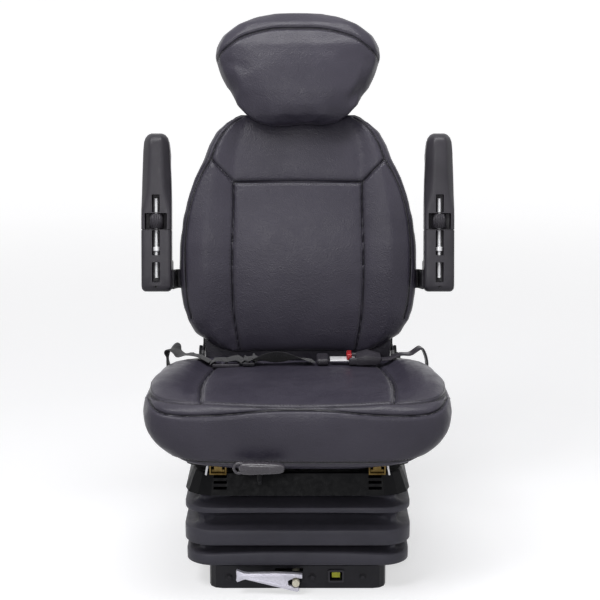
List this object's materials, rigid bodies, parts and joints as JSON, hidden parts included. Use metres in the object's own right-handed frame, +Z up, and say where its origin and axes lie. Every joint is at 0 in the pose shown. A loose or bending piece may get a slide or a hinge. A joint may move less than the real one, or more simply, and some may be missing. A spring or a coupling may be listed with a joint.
{
  "type": "tractor suspension seat",
  "caption": "Sprung tractor seat with a bellows over a scissor suspension, slide rails, reclining back, fold-up armrests, headrest and lap belt.",
  "frame": {"origin": "centre of the width of the base tray's underside, 170 mm behind its front face", "axes": "+Z up, -Y towards the front of the seat, +X to the right as seen from the front"},
  "size_m": [0.573, 0.6415, 0.9567],
  "materials": {
    "vinyl": "satin black upholstery vinyl with a fine grain",
    "black_steel": "black painted steel",
    "black_plastic": "satin black moulded plastic",
    "bellows_rubber": "matte black rubber",
    "zinc": "yellow zinc plated steel",
    "cast_aluminium": "cast and tumbled aluminium",
    "cream_steel": "pale plated steel",
    "indicator": "yellow green indicator plastic",
    "nylon": "natural nylon",
    "webbing": "black woven polyester webbing",
    "red_button": "red moulded plastic",
    "chrome": "chrome plated steel"
  },
  "bodies": {
    "base": {"base_tray": "black_steel", "front_bolt_1": "black_steel", "front_bolt_2": "black_steel", "front_bolt_3": "black_steel", "weight_window": "black_plastic", "weight_spindle": "cream_steel", "bellows": "bellows_rubber", "spring_left": "zinc", "spring_right": "zinc"},
    "weight_tag": {"weight_tag": "indicator"},
    "weight_lever": {"weight_lever": "cast_aluminium"},
    "spring_anchor": {"spring_anchor": "black_steel"},
    "scissor_outer": {"scissor_outer": "black_steel"},
    "scissor_inner": {"scissor_inner": "black_steel"},
    "roller_top_left": {"roller_top_left": "nylon"},
    "roller_top_right": {"roller_top_right": "nylon"},
    "roller_bottom_left": {"roller_bottom_left": "nylon"},
    "roller_bottom_right": {"roller_bottom_right": "nylon"},
    "upper_frame": {"upper_frame": "black_steel", "roller_channel_left": "black_steel", "roller_channel_right": "black_steel", "rail_lower_left": "zinc", "rail_lower_right": "zinc"},
    "seat_carriage": {"rail_upper_left": "zinc", "rail_upper_right": "zinc", "seat_pan": "black_steel", "seat_cushion": "vinyl", "belt_webbing_left": "webbing", "belt_webbing_lap": "webbing", "belt_adjuster": "black_plastic", "buckle_body": "black_plastic", "buckle_stalk": "webbing"},
    "slide_handle": {"slide_handle_bar": "black_steel", "slide_handle_grip": "black_plastic"},
    "belt_tongue": {"belt_tongue": "chrome", "belt_tongue_grip": "black_plastic"},
    "buckle_button": {"buckle_button": "red_button"},
    "backrest": {"backrest_pad": "vinyl", "backrest_shell": "black_plastic", "backrest_hoop": "black_steel", "recliner_plate_left": "black_steel", "recliner_plate_right": "black_steel", "headrest_guide_left": "black_plastic", "headrest_guide_right": "black_plastic"},
    "recline_lever": {"recline_lever": "black_plastic"},
    "headrest": {"headrest_pad": "vinyl", "headrest_plate": "black_plastic", "headrest_bar": "chrome"},
    "armrest_left": {"armrest_left_core": "black_plastic", "armrest_left_pad": "vinyl"},
    "armrest_left_wheel": {"armrest_left_wheel": "black_plastic", "armrest_left_screw": "zinc"},
    "armrest_left_nut": {"armrest_left_nut": "zinc"},
    "armrest_right": {"armrest_right_core": "black_plastic", "armrest_right_pad": "vinyl"},
    "armrest_right_wheel": {"armrest_right_wheel": "black_plastic", "armrest_right_screw": "zinc"},
    "armrest_right_nut": {"armrest_right_nut": "zinc"}
  },
  "joints": [
    {"name": "suspension", "type": "hinge", "parent": "base", "child": "scissor_outer", "pos_m": [0, -0.135, 0.02], "axis": [-1, 0, 0], "range_deg": [0, 17.1], "stiffness_Nm_per_rad": 30, "springref_deg": -171.89, "deforming": ["bellows", "spring_left", "spring_right"]},
    {"name": "scissor_cross", "type": "hinge", "parent": "scissor_outer", "child": "scissor_inner", "pos_m": [0, -0.0121, 0.106], "axis": [-1, 0, 0], "range_deg": [-34.2, 0]},
    {"name": "upper_level", "type": "hinge", "parent": "scissor_inner", "child": "upper_frame", "pos_m": [0, -0.135, 0.192], "axis": [-1, 0, 0], "range_deg": [0, 17.1]},
    {"name": "roller_top_left_spin", "type": "hinge", "parent": "scissor_outer", "child": "roller_top_left", "pos_m": [-0.1285, 0.11079, 0.192], "axis": [1, 0, 0], "continuous": true},
    {"name": "roller_top_right_spin", "type": "hinge", "parent": "scissor_outer", "child": "roller_top_right", "pos_m": [0.1285, 0.11079, 0.192], "axis": [1, 0, 0], "continuous": true},
    {"name": "roller_bottom_left_spin", "type": "hinge", "parent": "scissor_inner", "child": "roller_bottom_left", "pos_m": [-0.1165, 0.11079, 0.02], "axis": [1, 0, 0], "continuous": true},
    {"name": "roller_bottom_right_spin", "type": "hinge", "parent": "scissor_inner", "child": "roller_bottom_right", "pos_m": [0.1165, 0.11079, 0.02], "axis": [1, 0, 0], "continuous": true},
    {"name": "weight_lever_turn", "type": "hinge", "parent": "base", "child": "weight_lever", "pos_m": [-0.003, -0.197, 0.0225], "axis": [0, 1, 0], "range_deg": [0, 24]},
    {"name": "spring_anchor_slide", "type": "slide", "parent": "base", "child": "spring_anchor", "axis": [0, 1, 0], "range_m": [-0.01, 0.01], "deforming": ["spring_left", "spring_right"]},
    {"name": "weight_tag_slide", "type": "slide", "parent": "base", "child": "weight_tag", "axis": [1, 0, 0], "range_m": [-0.0035, 0.0035]},
    {"name": "seat_slide", "type": "slide", "parent": "upper_frame", "child": "seat_carriage", "axis": [0, -1, 0], "range_m": [-0.075, 0.075]},
    {"name": "slide_handle_lift", "type": "hinge", "parent": "seat_carriage", "child": "slide_handle", "pos_m": [-0.06, -0.12, 0.219], "axis": [-1, 0, 0], "range_deg": [0, 4.5]},
    {"name": "belt_tongue_slide", "type": "slide", "parent": "seat_carriage", "child": "belt_tongue", "axis": [-1, 0, 0], "range_m": [0, 0.03], "deforming": ["belt_webbing_lap"]},
    {"name": "buckle_button_press", "type": "slide", "parent": "seat_carriage", "child": "buckle_button", "axis": [1, 0, 0], "range_m": [0, 0.003], "stiffness_N_per_m": 300, "springref_m": -0.003},
    {"name": "recline", "type": "hinge", "parent": "seat_carriage", "child": "backrest", "pos_m": [0, 0.175, 0.315], "axis": [-1, 0, 0], "range_deg": [-6, 30]},
    {"name": "recline_lever_lift", "type": "hinge", "parent": "seat_carriage", "child": "recline_lever", "pos_m": [0.1866, 0.175, 0.315], "axis": [1, 0, 0], "range_deg": [0, 20]},
    {"name": "headrest_height", "type": "slide", "parent": "backrest", "child": "headrest", "axis": [0, 0.1736, 0.9848], "range_m": [0, 0.06]},
    {"name": "armrest_left_fold", "type": "hinge", "parent": "backrest", "child": "armrest_left", "pos_m": [-0.259, 0.16165, 0.46967], "axis": [1, 0, 0], "range_deg": [0, 95]},
    {"name": "armrest_left_wheel_turn", "type": "hinge", "parent": "armrest_left", "child": "armrest_left_wheel", "pos_m": [-0.259, 0.15266, 0.57991], "axis": [0, 0.1736, 0.9848], "range_deg": [-1080, 1080]},
    {"name": "armrest_left_nut_travel", "type": "slide", "parent": "armrest_left", "child": "armrest_left_nut", "axis": [0, 0.1736, 0.9848], "range_m": [-0.006, 0.006]},
    {"name": "armrest_right_fold", "type": "hinge", "parent": "backrest", "child": "armrest_right", "pos_m": [0.259, 0.16165, 0.46967], "axis": [1, 0, 0], "range_deg": [0, 95]},
    {"name": "armrest_right_wheel_turn", "type": "hinge", "parent": "armrest_right", "child": "armrest_right_wheel", "pos_m": [0.259, 0.15266, 0.57991], "axis": [0, 0.1736, 0.9848], "range_deg": [-1080, 1080]},
    {"name": "armrest_right_nut_travel", "type": "slide", "parent": "armrest_right", "child": "armrest_right_nut", "axis": [0, 0.1736, 0.9848], "range_m": [-0.006, 0.006]}
  ],
  "couplings": [
    {"joint": "scissor_cross", "follows": "suspension", "ratio": -2},
    {"joint": "upper_level", "follows": "suspension", "ratio": 1},
    {"joint": "weight_tag_slide", "follows": "spring_anchor_slide", "ratio": 0.35},
    {"joint": "armrest_left_wheel_turn", "follows": "armrest_left_nut_travel", "rad_per_m": 3141.6},
    {"joint": "armrest_right_wheel_turn", "follows": "armrest_right_nut_travel", "rad_per_m": 3141.6}
  ]
}
